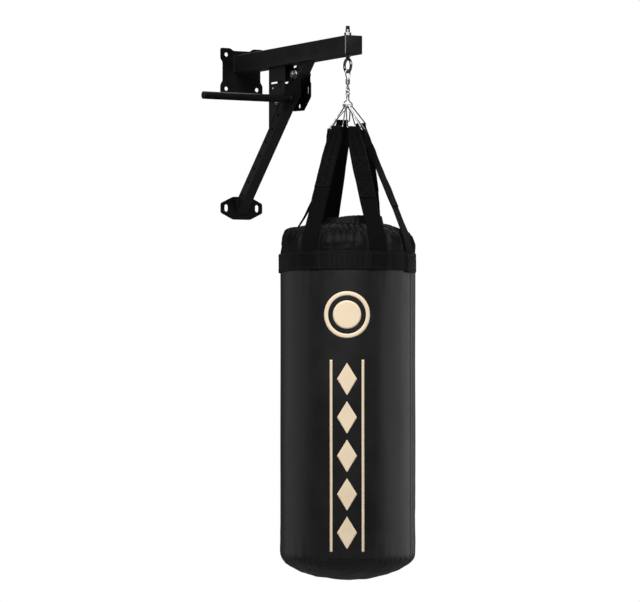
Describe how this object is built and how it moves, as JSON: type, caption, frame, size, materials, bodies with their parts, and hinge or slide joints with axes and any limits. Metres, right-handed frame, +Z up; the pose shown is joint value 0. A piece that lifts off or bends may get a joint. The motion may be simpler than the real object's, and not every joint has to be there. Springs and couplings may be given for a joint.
{
  "type": "wall-mounted hanging heavy bag",
  "caption": "Cylindrical padded heavy bag hung by webbing straps, triangle rings, chain and a swivel from a braced wall bracket arm with a side bar.",
  "frame": {"origin": "centre of the upper wall plate's back face, on the wall", "axes": "+X along the wall, away from the side bar; +Y into the wall, so the arm reaches out along -Y; +Z up"},
  "size_m": [0.4723, 0.7963, 1.4755],
  "materials": {
    "black_powder_coat": "satin black powder coat",
    "zinc_plated_steel": "bright zinc plating",
    "dark_plated_steel": "dark plating",
    "black_plastic": "matt moulded plastic",
    "black_nylon_webbing": "woven nylon webbing",
    "black_vinyl": "smooth soft-gloss coated vinyl",
    "grey_foam": "soft sheet foam",
    "shredded_textile": "packed textile scraps"
  },
  "bodies": {
    "bracket": {"upper_wall_plate": "black_powder_coat", "lower_wall_plate": "black_powder_coat", "arm_tube": "black_powder_coat", "arm_end_cap": "black_plastic", "strut_tube": "black_powder_coat", "hanger_plate_left": "black_powder_coat", "hanger_plate_right": "black_powder_coat", "hanger_bolt": "zinc_plated_steel", "hanger_nut": "zinc_plated_steel", "gusset_plate_left": "black_powder_coat", "gusset_plate_right": "black_powder_coat", "pivot_bolt": "zinc_plated_steel", "pivot_nut": "zinc_plated_steel", "pivot_washer": "zinc_plated_steel", "side_bar": "black_powder_coat", "side_bar_flange": "black_powder_coat", "side_bar_plug": "black_plastic", "eye_bolt": "dark_plated_steel", "eye_collar": "zinc_plated_steel", "eye_washer": "zinc_plated_steel", "eye_nut": "zinc_plated_steel", "thread_stem": "zinc_plated_steel", "thread_cap": "black_plastic"},
    "swivel_head": {"swivel_upper_eye": "zinc_plated_steel", "swivel_barrel": "zinc_plated_steel"},
    "swivel_shank": {"swivel_lower_eye": "zinc_plated_steel"},
    "upper_link": {"chain_link_upper": "zinc_plated_steel"},
    "bag": {"chain_link_lower": "zinc_plated_steel", "master_link": "zinc_plated_steel", "triangle_ring_1": "zinc_plated_steel", "triangle_ring_2": "zinc_plated_steel", "triangle_ring_3": "zinc_plated_steel", "triangle_ring_4": "zinc_plated_steel", "triangle_ring_5": "zinc_plated_steel", "triangle_ring_6": "zinc_plated_steel", "strap_1": "black_nylon_webbing", "strap_2": "black_nylon_webbing", "strap_3": "black_nylon_webbing", "strap_4": "black_nylon_webbing", "strap_5": "black_nylon_webbing", "strap_6": "black_nylon_webbing", "reinforcement_band": "black_nylon_webbing", "top_collar": "black_vinyl", "top_lid": "black_vinyl", "outer_cover": "black_vinyl", "bottom_panel": "black_vinyl", "foam_liner": "grey_foam", "textile_filling": "shredded_textile"}
  },
  "joints": [
    {"name": "swing_fore_aft", "type": "hinge", "parent": "bracket", "child": "swivel_head", "pos_m": [0, -0.612, -0.04245], "axis": [-1, 0, 0], "range_deg": [-18, 40]},
    {"name": "swivel_spin", "type": "hinge", "parent": "swivel_head", "child": "swivel_shank", "pos_m": [0, -0.612, -0.075], "axis": [0, 0, 1], "continuous": true},
    {"name": "swing_side", "type": "hinge", "parent": "swivel_shank", "child": "upper_link", "pos_m": [0, -0.612, -0.0945], "axis": [-0.2756, 0.9613, 0], "range_deg": [-25, 25]},
    {"name": "link_tilt", "type": "hinge", "parent": "upper_link", "child": "bag", "pos_m": [0, -0.612, -0.1034], "axis": [0.9613, 0.2756, 0], "range_deg": [-12, 12]}
  ]
}
